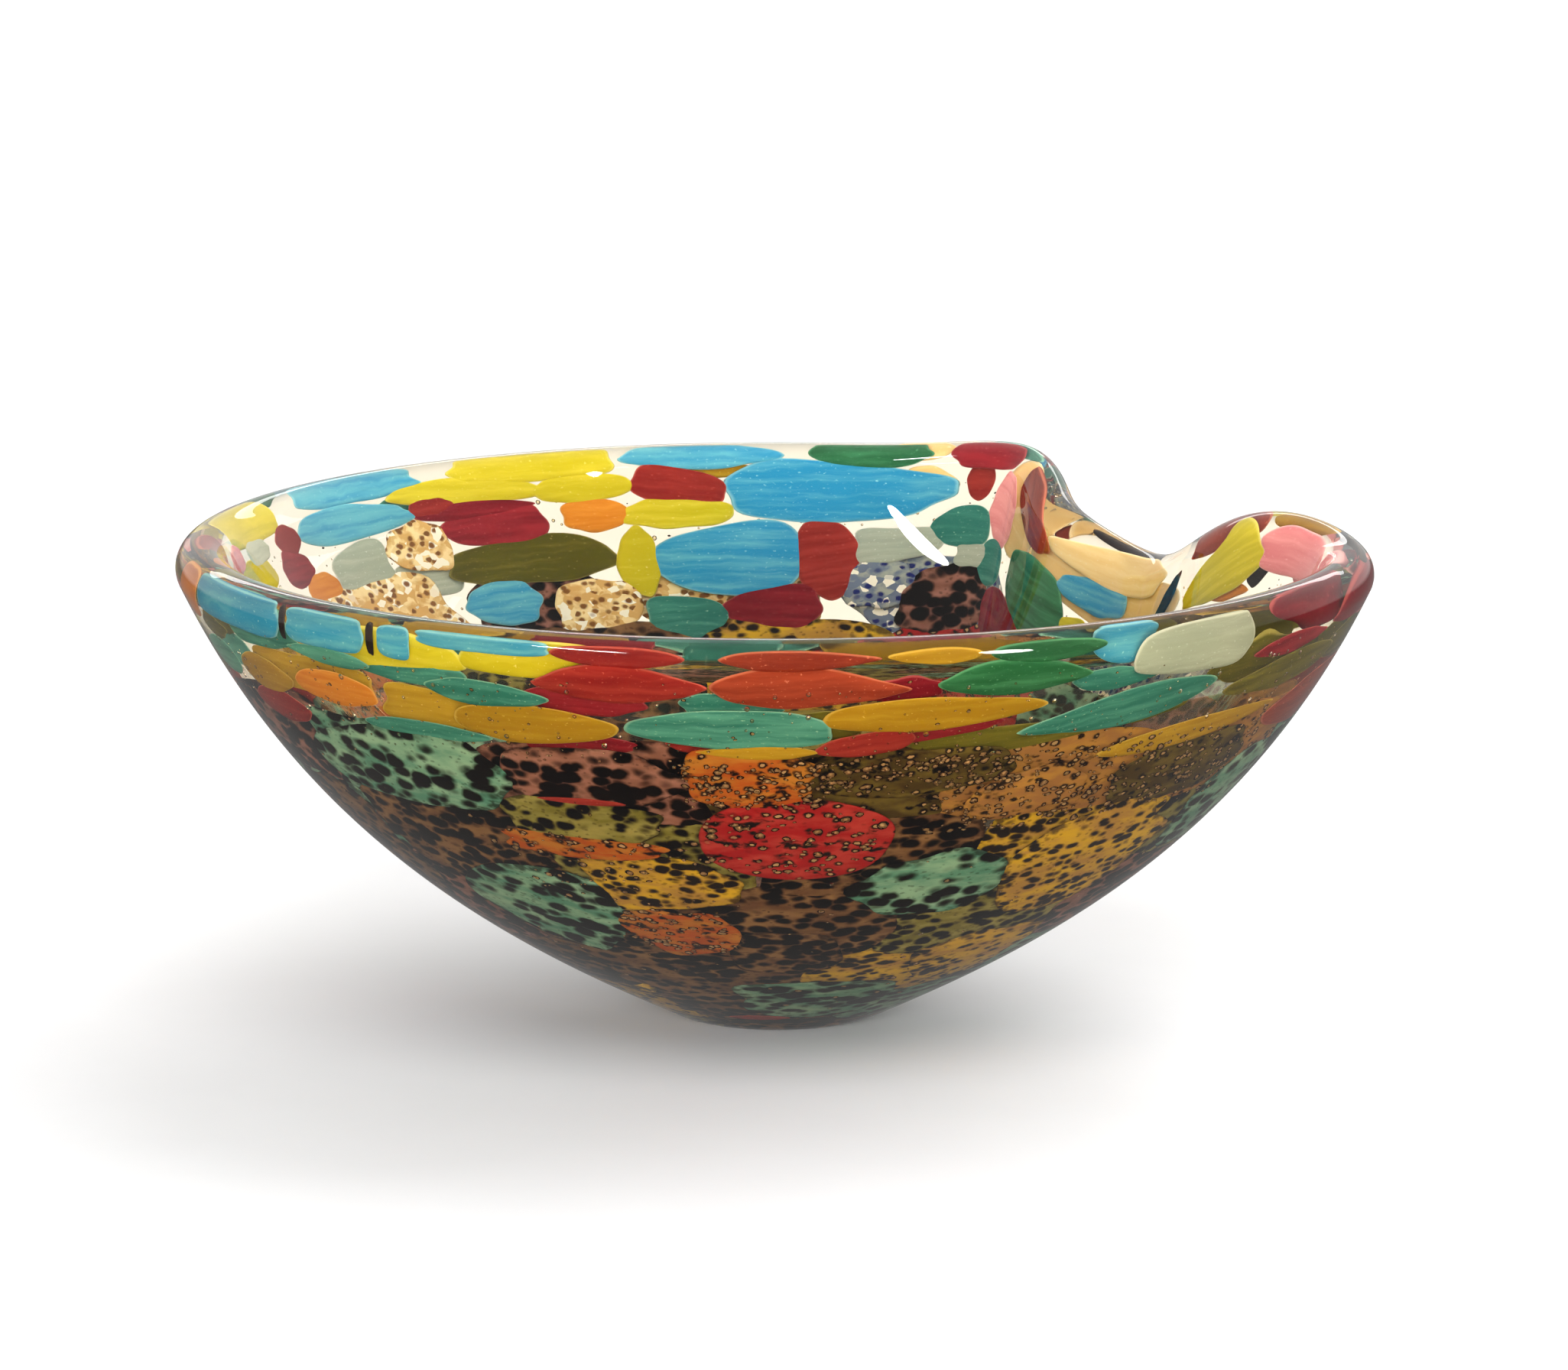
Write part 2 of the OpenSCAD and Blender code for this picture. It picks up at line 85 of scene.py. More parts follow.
def skin(az, s):
    """Points of the outside at azimuth az and share s."""
    az, s = np.broadcast_arrays(np.asarray(az, float), np.asarray(s, float))
    o = outline(s)
    w = (np.maximum(0, s - FOLD_SHARE) / (1 - FOLD_SHARE)) ** 1.5
    r = o[..., 0] - FOLD_IN * w * bell(az, FOLD_AT, FOLD_LEFT, FOLD_RIGHT, FOLD_POWER)
    z = o[..., 1] - DIP * w * bell(az, DIP_AT, DIP_LEFT, DIP_RIGHT, 2)
    z = z + LOBE_RISE * w**1.5 * bell(az, LOBE_AT, LOBE_HALF, LOBE_HALF, 2)
    z = z + PEAK_RISE * w**1.5 * bell(az, PEAK_AT, PEAK_HALF, PEAK_HALF, 2)
    a = np.radians(az)
    return np.stack([r * np.cos(a), r * np.sin(a), z], -1)


def unit(v):
    return v / np.linalg.norm(v, axis=-1, keepdims=True)


def axes(az, s):
    """Unit vectors round the bowl, up the wall and outwards."""
    s = np.maximum(s, 0.002)
    round_it = unit(skin(az + 0.05, s) - skin(az - 0.05, s))
    up = unit(skin(az, s + 0.001) - skin(az, s - 0.001))
    out = unit(np.cross(round_it, up))
    return round_it, np.cross(out, round_it), out


def thickness(s):
    q = np.clip(np.asarray(s, float) / 0.5, 0, 1)
    return FOOT_T + (WALL_T - FOOT_T) * q * q * (3 - 2 * q)


def inside_plus(az, s, t):
    """Points at depth t outwards from the inside of the wall."""
    return skin(az, s) - (thickness(s) - t)[..., None] * axes(az, s)[2]


def lip_point(az, side, rise):
    """Points of the lip: side is outwards from its middle, rise is along the wall."""
    _, up, out = axes(az, np.ones_like(az))
    return skin(az, 1) + (side - WALL_T / 2) * out + rise * up


# ---- mesh building ----


class Piece:
    """Collects points and faces, with a grain place in mm and a look (tone, rim, 0) for each point."""

    def __init__(self):
        self.points, self.faces, self.slots, self.grain, self.look = [], [], [], [], []
        self.count = 0

    def add(self, points, faces, slot=0, grain=None, look=None):
        points = np.asarray(points, float).reshape(-1, 3)
        n = len(points)
        self.points.append(points)
        self.faces += [[i + self.count for i in face] for face in faces]
        self.slots += [slot] * len(faces)
        self.grain.append(np.zeros((n, 2)) if grain is None else grain)
        self.look.append(np.zeros((n, 3)) if look is None else look)
        self.count += n

    def make(self, name, materials, replaces):
        mesh = bpy.data.meshes.new(name)
        mesh.from_pydata((np.concatenate(self.points) * MM).tolist(), [], self.faces)
        for material in materials:
            mesh.materials.append(material)
        mesh.polygons.foreach_set("material_index", self.slots)
        mesh.shade_smooth()
        grain = np.concatenate(self.grain)
        corner = np.zeros(len(mesh.loops), np.int32)
        mesh.loops.foreach_get("vertex_index", corner)
        layer = mesh.uv_layers.new(name="grain")
        layer.data.foreach_set("uv", grain[corner].astype(np.float32).ravel())
        look = mesh.attributes.new("look", "FLOAT_VECTOR", "POINT")
        look.data.foreach_set("vector", np.concatenate(self.look).astype(np.float32).ravel())
        piece = bpy.data.objects.new(name, mesh)
        bpy.context.scene.collection.objects.link(piece)
        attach(piece, "root")
        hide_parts(replaces)


def ring_faces(rows, n):
    """Quads between closed rings of n points, wound to face away from the solid."""
    return [
        [k * n + i, k * n + (i + 1) % n, (k + 1) * n + (i + 1) % n, (k + 1) * n + i]
        for k in range(rows - 1)
        for i in range(n)
    ]


# ---- the two shells of clear glass ----

COLUMNS = np.concatenate([np.arange(-8, 76, 0.8), np.arange(76, 352, 1.5)])
WALL_SHARES = np.concatenate([np.linspace(FOOT_SHARE + 0.012, 0.8, 46), np.linspace(0.81, 1, 22)])
LIP_TURNS = np.linspace(0, 90, 13)[1:]
BUBBLES = 700
FUSED_SHARES = np.concatenate([np.linspace(0.98, 0.1, 40), [0.07, 0.04, 0.015]])


def lip_arc(angle):
    a = math.radians(angle)
    return lip_point(COLUMNS, WALL_T / 2 * math.cos(a), WALL_T / 2 * math.sin(a))


def at_depth(s, t):
    return inside_plus(COLUMNS, np.full(len(COLUMNS), s), t)


# Materials of both shells, in the order of their slots; only the casing has the third
GLASS, FUSED, GROUND = 0, 1, 2


def flat_ring(radius, z):
    a = np.radians(COLUMNS)
    return np.stack([radius * np.cos(a), radius * np.sin(a), np.full(len(a), z)], -1)


def add_rings(piece, rings, material, close_last=None):
    """Adds rings joined in order, and closes the last one onto a point."""
    n = len(COLUMNS)
    points = np.concatenate(rings)
    faces = ring_faces(len(rings), n)
    if close_last is not None:
        points = np.concatenate([points, [close_last]])
        last = (len(rings) - 1) * n
        faces += [[last + i, last + (i + 1) % n, len(points) - 1] for i in range(n)]
    piece.add(points, faces, material)


def void(middle, radius):
    """A round void: 6 rings of 10 points and two poles, with its faces turned inwards."""
    lat = np.radians(np.linspace(-75, 75, 6))
    lon = np.radians(np.arange(0, 360, 36))
    rings = [
        np.stack([np.cos(a) * np.cos(lon), np.cos(a) * np.sin(lon), np.full(len(lon), math.sin(a))], -1)
        for a in lat
    ]
    points = np.concatenate([*rings, [[0, 0, -1], [0, 0, 1]]]) * radius + middle
    n = len(lon)
    faces = ring_faces(len(rings), n)
    faces += [[(i + 1) % n, i, len(points) - 2] for i in range(n)]
    last = (len(rings) - 1) * n
    faces += [[last + i, last + (i + 1) % n, len(points) - 1] for i in range(n)]
    return points, [face[::-1] for face in faces]


def casing(materials):
    piece = Piece()
    t = LINING_T + MOSAIC_T
    foot = [flat_ring(FOOT_R - 1.2, 0), flat_ring(FOOT_R - 0.5, 0.05)]
    wall = [skin(COLUMNS, s) for s in WALL_SHARES]
    n = len(COLUMNS)
    add_rings(piece, [flat_ring(0.4, 0), flat_ring(6, 0), foot[0]], GROUND)
    hub = np.concatenate([flat_ring(0.4, 0), [[0, 0, 0]]])
    piece.add(hub, [[(i + 1) % n, i, n] for i in range(n)], GROUND)
    lip = [lip_arc(a) for a in LIP_TURNS]
    add_rings(piece, foot + wall + lip, GLASS)
    inner = [lip[-1], lip_point(COLUMNS, 0, JOIN_RISE), lip_point(COLUMNS, t - WALL_T / 2, JOIN_RISE)]
    inner += [at_depth(s, t) for s in FUSED_SHARES]
    tip = skin(0.0, 0.0) + np.array([0, 0, FOOT_T - t])
    add_rings(piece, inner, FUSED, tip)
    add_bubbles(piece)
    piece.make("clear_casing", materials, "outer_casing")


def add_bubbles(piece):
    """Seeds of air in the casing, most of them in the band under the lip."""
    rng = np.random.default_rng(11)
    for k in range(BUBBLES):
        az = rng.uniform(0, 360)
        share = rng.uniform(0.88, 0.985) if k % 5 else rng.uniform(0.5, 0.97)
        radius = 0.12 + 0.3 * rng.random() ** 3
        lowest = LINING_T + MOSAIC_T + radius + 0.08
        depth = rng.uniform(lowest, float(thickness(share)) - radius - 0.3)
        piece.add(*void(inside_plus(np.array(az), np.array(share), np.array(depth)), radius), GLASS)


def lining(materials):
    piece = Piece()
    back = [at_depth(s, LINING_T) for s in FUSED_SHARES[::-1]]
    back += [lip_point(COLUMNS, LINING_T - WALL_T / 2, JOIN_RISE), lip_point(COLUMNS, 0, JOIN_RISE)]
    tip = skin(0.0, 0.0) + np.array([0, 0, FOOT_T - LINING_T])
    n = len(COLUMNS)
    piece.add(np.concatenate([back[0], [tip]]), [[(i + 1) % n, i, n] for i in range(n)], FUSED)
    add_rings(piece, [*back, lip_arc(90)], FUSED)
    face = [lip_arc(90 + a) for a in [0, *LIP_TURNS]]
    face += [at_depth(s, 0) for s in [*WALL_SHARES[-2::-1], 0.12, 0.08, 0.04, 0.015]]
    add_rings(piece, face, GLASS, skin(0.0, 0.0) + np.array([0, 0, FOOT_T]))
    piece.make("straw_lining", materials, "inner_lining")


# ---- tesserae ----

# How square an outline is: 2 is an ellipse, more is a block
BLOCK = 4.0
BRICK = 4.2
EDGE_POINTS = 60
NEAR_RINGS = [(rho, 1) for rho in (0.0, 0.3, 0.55, 0.75, 0.88, 0.95, 0.985)]
EDGE_RINGS = [*NEAR_RINGS, (1.0, 0), *[(rho, -1) for rho, _ in NEAR_RINGS[::-1]]]


def layer_depth(layer):
    return LINING_T + (2.5 * GAP + TESSERA_T if layer == 0 else GAP)


def mm_per_share(s):
    return float(np.linalg.norm(skin(270, s + 0.01) - skin(270, s - 0.01))) / 0.02


def outline_of(power, wobble, taper, rng):
    """Reach of a slab's edge in every direction, as shares of half its length and half its height."""
    phi = np.arange(EDGE_POINTS) * 2 * math.pi / EDGE_POINTS
    c, s = np.cos(phi), np.sin(phi)
    reach = (np.abs(c) ** power + np.abs(s) ** power) ** (-1 / power)
    for k in range(2, 9):
        wave = rng.uniform(-1, 1) / math.sqrt(k) * np.sin(k * phi + rng.uniform(0, 6.3))
        reach = reach * (1 + wobble * wave)
    slant = taper * rng.uniform(-1, 1)
    return reach * c, reach * s * (1 + slant * reach * c)


def add_tessera(piece, row, power, wobble, taper, grow, rng):
    """A slab with a round edge that follows the wall."""
    az0, up0, length, height, tilt, layer = row
    s0 = up0 / 100
    along, upward = outline_of(power, wobble, taper, rng)
    turn, shift, tone = math.radians(tilt), rng.uniform(-400, 400, 2), rng.random()
    middle = layer_depth(layer) + TESSERA_T / 2 + rng.uniform(-0.05, 0.05)
    top_share = 1 + (JOIN_RISE - 0.25) / mm_per_share(1)
    rings, grains, looks = [], [], []
    for rho, side in EDGE_RINGS:
        u, v = rho * along * (length / 2 + grow), rho * upward * (height / 2 + grow)
        across = u * math.cos(turn) - v * math.sin(turn)
        up = u * math.sin(turn) + v * math.cos(turn)
        depth = np.full(EDGE_POINTS, middle + side * TESSERA_T / 2 * math.sqrt(1 - rho**8))
        share = np.minimum(s0 + up / mm_per_share(s0), top_share)
        rings.append(inside_plus(az0 + np.degrees(across / outline(s0)[0]), share, depth))
        grains.append(np.stack([u, v], -1) + shift)
        looks.append(np.tile([tone, rho, 0.0], (EDGE_POINTS, 1)))
    n, rows = EDGE_POINTS, len(rings)
    for table in (rings, grains, looks):
        table[0], table[-1] = table[0][:1], table[-1][:1]
    body = [[1 + i for i in face] for face in ring_faces(rows - 2, n)]
    last, end = 1 + (rows - 3) * n, 1 + (rows - 2) * n
    fans = [[0, 1 + (i + 1) % n, 1 + i] for i in range(n)]
    fans += [[end, last + i, last + (i + 1) % n] for i in range(n)]
    tables = [np.concatenate(table) for table in (grains, looks)]
    piece.add(np.concatenate(rings), [face[::-1] for face in body + fans], 0, *tables)


# Each row is [azimuth, percent up the wall, length, height, tilt, layer]: layer 0 is under the
# casing, 1 is on the lining. The rows are the CAD model's.
TESSERAE = {
    "turquoise": [
        [265.2, 92.8, 26.6, 5.8, 0, 0], [241, 96, 17, 3.4, -2, 0], [222, 98, 15, 2, -3, 0],
        [197, 93.8, 13, 5, 0, 0], [232, 89.9, 20, 2.4, 0, 0], [233, 97.2, 15, 1.8, 0, 1],
        [265.6, 95.6, 11, 2.2, 0, 1], [211, 98.6, 17, 2.4, 0, 1], [306, 93.2, 31, 5.4, 9, 0],
        [304, 97, 12, 2, 0, 1], [135.4, 98, 9, 2.4, 0, 0], [68.2, 92.2, 8, 5, 0, 1],
        [101.4, 79.8, 11, 5.2, 0, 1], [62.5, 88, 5, 5.6, 0, 1], [63, 101.2, 12, 1.2, 0, 0],
    ],
    "sky_blue": [
        [206.4, 100.4, 25, 3.6, 0, 0], [222.4, 100.4, 14.5, 3.2, 0, 0], [231.7, 100.4, 4.6, 2.8, 0, 0],
        [241.6, 101.1, 19, 1.4, 0, 0], [304.5, 100.4, 9, 2.6, 0, 1], [142.5, 100.7, 27, 2.2, 0, 1],
        [144, 97, 27, 4, 0, 1], [98.6, 100.8, 24, 1.9, 0, 1], [82.6, 96.6, 34, 7.6, 0, 1],
        [96, 87.8, 21, 10, 0, 1], [126, 83.8, 12, 6, 0, 1], [41, 94.4, 16, 5, -6, 1],
    ],
    "red": [
        [255, 98.1, 23, 4.6, 0, 0], [255, 100.8, 17, 1.8, 0, 0], [278.8, 90.8, 12.5, 3, 9, 0],
        [208, 89.2, 15, 4.6, 0, 0], [157, 97, 6, 3, 0, 1], [263, 90.4, 9, 1.6, 0, 1],
        [248, 81.35, 13, 0.7, 0, 0], [261, 18.6, 8, 1.6, 0, 0], [131.5, 97.2, 7, 1.4, 0, 1],
        [101, 97.4, 13, 4.2, 8, 1], [84, 87.8, 8, 11, -10, 1], [77, 90.6, 7, 2, -18, 0],
        [67, 98.2, 4, 6, 0, 0],
    ],
    "coral": [
        [273, 98, 25, 4.8, 0, 0], [272, 100.8, 20, 1.8, 0, 0], [344, 88.8, 32, 9, 5, 0],
        [53.6, 98.7, 10.4, 4.6, 33, 1], [183, 100.6, 10, 2.4, 0, 1], [15, 100.8, 16, 2.4, 0, 0],
        [189, 89, 9, 4, 0, 0],
    ],
    "orange": [
        [221, 93.8, 16, 4.8, 0, 0], [193.2, 99.8, 9.4, 4.6, 0, 0], [111, 94.4, 9, 3.4, 0, 1],
        [12, 93.6, 8, 2.4, 0, 0], [154.4, 89.8, 8, 4, 0, 1],
    ],
    "mustard": [
        [245.4, 92.4, 23, 5.6, 0, 0], [285.5, 94.6, 29, 4.6, 2, 0], [268, 89.8, 15, 1.6, 0, 0],
        [318, 88.4, 33, 3.2, 6, 0], [208.5, 93.4, 14, 5.6, 0, 0], [217, 94.6, 24, 5, 0, 1],
        [235, 92.6, 18, 5.2, 0, 1], [98, 99.4, 20, 1.6, 0, 0], [284.6, 100.9, 12, 1.2, 0, 0],
        [4, 101, 12, 1.4, 0, 0],
    ],
    "lime": [
        [231, 98.8, 22, 2, 0, 1], [247, 99.6, 20, 1.8, 0, 1], [101.5, 94.2, 16, 3.4, 0, 1],
        [127, 98.7, 26, 2.2, 2, 1], [106.8, 87.8, 5, 9.6, 0, 1], [171, 94.4, 17, 4.4, 0, 1],
        [118, 100.6, 28, 2.2, 0, 1], [112, 97.8, 15, 3, 0, 1], [14, 96.4, 15, 7.6, -24, 1],
        [166, 100, 22, 3.6, 0, 1], [43.4, 88, 6, 3.4, 0, 1], [171, 101, 14, 1.8, 0, 0],
        [14, 97.6, 10, 4, 0, 0],
    ],
    "olive": [
        [293, 90.2, 24, 2.6, 3, 1], [330, 94.2, 28, 5, 5, 0], [120.4, 89.2, 28, 6, 0, 1],
        [199, 97.4, 8, 2.6, 0, 1], [348, 95.6, 22, 4, 4, 1], [29, 89.5, 10, 2.6, 0, 1],
        [184, 91.6, 13, 5, 0, 1], [324, 96.4, 20, 5, 2, 1], [309, 93, 15, 4, 5, 1],
        [274.5, 93, 9.6, 3, 0, 1],
    ],
    "green": [
        [293, 98.4, 21, 4, 0, 0], [296, 100.8, 16, 1.8, 0, 0], [79.5, 101, 18, 2.2, 0, 1],
        [51.5, 89, 12, 11, 0, 1], [157, 101.2, 10, 1.2, 0, 0],
    ],
    "burgundy": [
        [251, 95.6, 16, 3.4, 0, 1], [250, 89.8, 14, 1.8, 0, 1], [286, 92.4, 16, 2.4, 4, 1],
        [281, 97.4, 12, 1.6, 0, 1], [329, 97.8, 18, 2.6, 3, 0], [124, 94, 17, 4.4, 0, 1],
        [126.4, 96.3, 20, 1, 0, 1], [90.5, 80.9, 13, 5.8, 0, 1], [65.5, 100.8, 12, 2.4, 0, 1],
        [57.6, 81.8, 12, 7.4, 0, 1], [158, 93.4, 8, 4, 0, 1], [333, 100.2, 22, 2.4, 0, 1],
        [345, 99.4, 22, 2.4, 3, 0],
    ],
    "pink": [
        [61.6, 95, 7, 9, 10, 1], [2, 98.4, 16, 4.6, 0, 1], [175.4, 97.8, 8, 2.2, 0, 1],
        [350, 98.9, 13, 1.8, 0, 1], [178, 96.4, 12, 2.8, 0, 0], [357, 96.4, 13, 4.4, 0, 0],
    ],
    "cream": [
        [38, 98.9, 31, 4.8, -4, 1], [37, 95, 42, 12, 0, 0], [58.6, 95.5, 14, 12, 0, 0],
        [73, 97.6, 9, 5, 0, 0], [74, 101.2, 9, 1.2, 0, 0],
    ],
    "white": [
        [313, 99.3, 20, 5.8, 2, 0], [75.5, 90, 12, 3.6, -6, 1], [145.5, 91, 12, 6.6, 0, 1],
        [135, 88.6, 12, 5, 0, 0], [66, 88.6, 4, 2.2, 0, 1], [166, 97.1, 8, 2, 0, 1],
    ],
    "canes": [
        [24.5, 95.4, 3, 11, 28, 1], [7.4, 97, 3, 8, 30, 0], [353.5, 101, 12, 1.2, 0, 0],
        [37, 101.3, 22, 0.8, 0, 0], [216.3, 100.4, 0.9, 3.2, 0, 0], [228.8, 100.4, 0.9, 3.2, 0, 0],
    ],
}

# Body patches laid like bricks on the lining: [percent up from, to, first azimuth, kinds]
COURSES = [
    [78.2, 88.6, 250, "MGAATo----CYMT"],
    [64, 78.2, 226, "BOBYOMTRYBOET"],
    [46.5, 64, 272, "BOMYTOBTRMB"],
    [30.5, 46.5, 253, "BYTBOMYB"],
    [17.5, 30.5, 266, "BTOMY"],
    [3, 17.5, 290, "BMO"],
]
COURSE_GAP = 1

# Patches that lie over the bricks
OVER = {
    "T": [
        [225, 83.4, 33, 12, 0, 0], [233, 57.8, 20, 20, -20, 0], [291, 65.2, 17, 13, 0, 0],
        [283, 28, 19, 16, 0, 0], [338, 74, 19, 18, 0, 0],
    ],
    "M": [[249.5, 85.1, 23, 7.8, 0, 0], [68.5, 82.4, 13, 9.4, 0, 1], [121.4, 83.2, 20, 9.6, 0, 0]],
    "O": [[247, 77.6, 20, 6.8, 0, 0], [184, 79, 22, 12, 0, 0], [39.5, 82.6, 12.5, 8, 0, 1]],
    "Y": [[254.6, 65.8, 18, 10.6, 0, 0], [314, 67, 24, 20, 0, 0], [312, 43.2, 17, 15, 0, 0]],
    "B": [[202, 67, 19, 22, 0, 0], [272, 47.6, 12, 12, 0, 0]],
    "R": [[272.3, 75.2, 23, 14.2, 0, 0]],
    "E": [
        [267, 85.6, 16, 7.6, 0, 0], [254.6, 53.6, 14, 10, 0, 0], [246, 73, 21, 3, -4, 0],
        [153, 83.8, 10, 6, 0, 0],
    ],
    "G": [[285, 86.4, 22, 6.4, 3, 0], [320, 82.4, 24, 9, 4, 0]],
    "A": [[298, 82, 14, 6.4, 4, 0]],
    "C": [
        [135.2, 92.6, 10.6, 5.4, 0, 1], [113, 82.2, 12, 6.4, 0, 1], [44.3, 83.4, 28, 11, 0, 0],
        [95.7, 83.4, 28, 11, 0, 0],
    ],
    "o": [[70, 83.4, 27, 11, 0, 0], [77.4, 84.6, 8.4, 6, 0, 1]],
}


def course_rows(kind):
    rows = []
    for low, high, first, kinds in COURSES:
        up = (low + high) / 2
        height = (high - low) / 100 * mm_per_share(up / 100) - COURSE_GAP
        length = 2 * math.pi * float(outline(up / 100)[0]) / len(kinds) - COURSE_GAP
        pitch = 360 / len(kinds)
        rows += [[first + pitch * i, up, length, height, 0, 1] for i, k in enumerate(kinds) if k == kind]
    return rows


# ---- materials ----


class Nodes:
    """Short calls for building a material's node tree."""

    def __init__(self, name):
        self.material = bpy.data.materials.new(name)
        self.material.use_nodes = True
        self.tree = self.material.node_tree
        self.tree.nodes.clear()
        self.out = self.add("ShaderNodeOutputMaterial")

    def add(self, kind, **values):
        node = self.tree.nodes.new(kind)
        for key, value in values.items():
            if hasattr(node, key):
                setattr(node, key, value)
            else:
                self.put(node.inputs[key.replace("_", " ")], value)
        return node

    def put(self, socket, value):
        if isinstance(value, bpy.types.NodeSocket):
            self.tree.links.new(value, socket)
        else:
            socket.default_value = value

    def math(self, operation, a, b):
        node = self.add("ShaderNodeMath", operation=operation)
        self.put(node.inputs[0], a)
        self.put(node.inputs[1], b)
        return node.outputs[0]

    def between(self, value, low, high):
        """0 below low, 1 above high, and smooth between."""
        node = self.add("ShaderNodeMapRange", interpolation_type="SMOOTHSTEP")
        self.put(node.inputs["Value"], value)
        node.inputs["From Min"].default_value = low
        node.inputs["From Max"].default_value = high
        return node.outputs["Result"]

    def mix(self, factor, a, b):
        node = self.add("ShaderNodeMix", data_type="RGBA")
        self.put(node.inputs[0], factor)
        self.put(node.inputs[6], a if isinstance(a, bpy.types.NodeSocket) else (*a, 1))
        self.put(node.inputs[7], b if isinstance(b, bpy.types.NodeSocket) else (*b, 1))
        return node.outputs[2]

    def grain(self, along, across, distort=0.0, size=1.0):
        """The grain place with its own scale along and across the piece, stirred by a noise."""
        uv = self.add("ShaderNodeUVMap", uv_map="grain").outputs[0]
        if distort:
            noise = self.add("ShaderNodeTexNoise", Scale=size, Detail=2.0)
            self.put(noise.inputs["Vector"], uv)
            shift = self.add("ShaderNodeVectorMath", operation="MULTIPLY_ADD")
            self.put(shift.inputs[0], noise.outputs["Color"])
            shift.inputs[1].default_value = (distort, distort, 0)
            self.put(shift.inputs[2], uv)
            uv = shift.outputs[0]
        scale = self.add("ShaderNodeVectorMath", operation="MULTIPLY")
        self.put(scale.inputs[0], uv)
        scale.inputs[1].default_value = (along, across, 1)
        return scale.outputs[0]

    def noise(self, vector, scale, detail):
        node = self.add("ShaderNodeTexNoise", Scale=scale, Detail=detail, Roughness=0.55)
        self.put(node.inputs["Vector"], vector)
        return node.outputs["Fac"]

    def cells(self, vector, randomness=1.0):
        """Distance to the middle of the nearest cell, and that cell's random colour."""
        node = self.add("ShaderNodeTexVoronoi", Scale=1.0, Randomness=randomness)
        self.put(node.inputs["Vector"], vector)
        return node.outputs["Distance"], node.outputs["Color"]

    def look(self):
        """(tone of the whole piece, 0 in its middle to 1 at its edge)"""
        node = self.add("ShaderNodeAttribute", attribute_name="look")
        split = self.add("ShaderNodeSeparateXYZ")
        self.put(split.inputs[0], node.outputs["Vector"])
        return split.outputs[0], split.outputs[1]

    def opaque_glass(self, base):
        """Coloured glass inside clear glass: no surface of its own to shine."""
        shader = self.add("ShaderNodeBsdfPrincipled", Roughness=0.35)
        shader.inputs["Specular IOR Level"].default_value = 0.0
        self.put(shader.inputs["Base Color"], base)
        self.put(self.out.inputs["Surface"], shader.outputs[0])


def colour(r, g, b):
    """sRGB 0 to 255 as linear."""
    shares = (r / 255, g / 255, b / 255)
    return tuple(v / 12.92 if v <= 0.04045 else ((v + 0.055) / 1.055) ** 2.4 for v in shares)


def clear_glass(name, pale, deep):
    """Clear glass with faint cords of a deeper tint and a hand-blown ripple."""
    n = Nodes(name)
    place = n.add("ShaderNodeTexCoord").outputs["Object"]
    cords = n.noise(place, 22, 2)
    shader = n.add("ShaderNodeBsdfPrincipled", Roughness=0.0)
    shader.inputs["IOR"].default_value = 1.5
    shader.inputs["Transmission Weight"].default_value = 1.0
    shader.inputs["Specular Tint"].default_value = (0.6, 0.6, 0.6, 1)
    n.put(shader.inputs["Base Color"], n.mix(cords, pale, deep))
    bump = n.add("ShaderNodeBump", Strength=0.035, Distance=0.0006)
    n.put(bump.inputs["Height"], n.noise(place, 60, 1))
    n.put(shader.inputs["Normal"], bump.outputs[0])
    n.put(n.out.inputs["Surface"], shader.outputs[0])
    return n.material


def fused_face():
    """Where two layers of glass are melted together light goes straight on."""
    n = Nodes("fused_face")
    n.put(n.out.inputs["Surface"], n.add("ShaderNodeBsdfTransparent").outputs[0])
    return n.material


def ground_foot():
    n = Nodes("ground_foot")
    place = n.add("ShaderNodeTexCoord").outputs["Object"]
    shader = n.add("ShaderNodeBsdfPrincipled")
    shader.inputs["IOR"].default_value = 1.5
    shader.inputs["Transmission Weight"].default_value = 0.6
    tint = n.mix(n.noise(place, 400, 4), (0.55, 0.52, 0.42), (0.75, 0.72, 0.62))
    n.put(shader.inputs["Base Color"], tint)
    n.put(shader.inputs["Roughness"], n.between(n.noise(place, 900, 3), -0.6, 1.4))
    n.put(n.out.inputs["Surface"], shader.outputs[0])
    return n.material


def streaky(name, main, other, edge):
    """Rim-band glass: one colour with fine streaks along the piece and a paler edge."""
    n = Nodes(name)
    tone, rim = n.look()
    streaks = n.noise(n.grain(0.07, 0.9, 1.2, 0.25), 1.0, 4)
    streaks = n.math("ADD", streaks, n.math("MULTIPLY", tone, 0.3))
    base = n.mix(n.between(streaks, 0.45, 0.95), main, other)
    specks = n.noise(n.grain(1.6, 2.6), 1.0, 2)
    base = n.mix(n.between(specks, 0.62, 0.8), base, edge)
    pale = n.math("MULTIPLY", n.between(rim, 0.95, 1.0), 0.7)
    n.opaque_glass(n.mix(pale, base, edge))
    return n.material


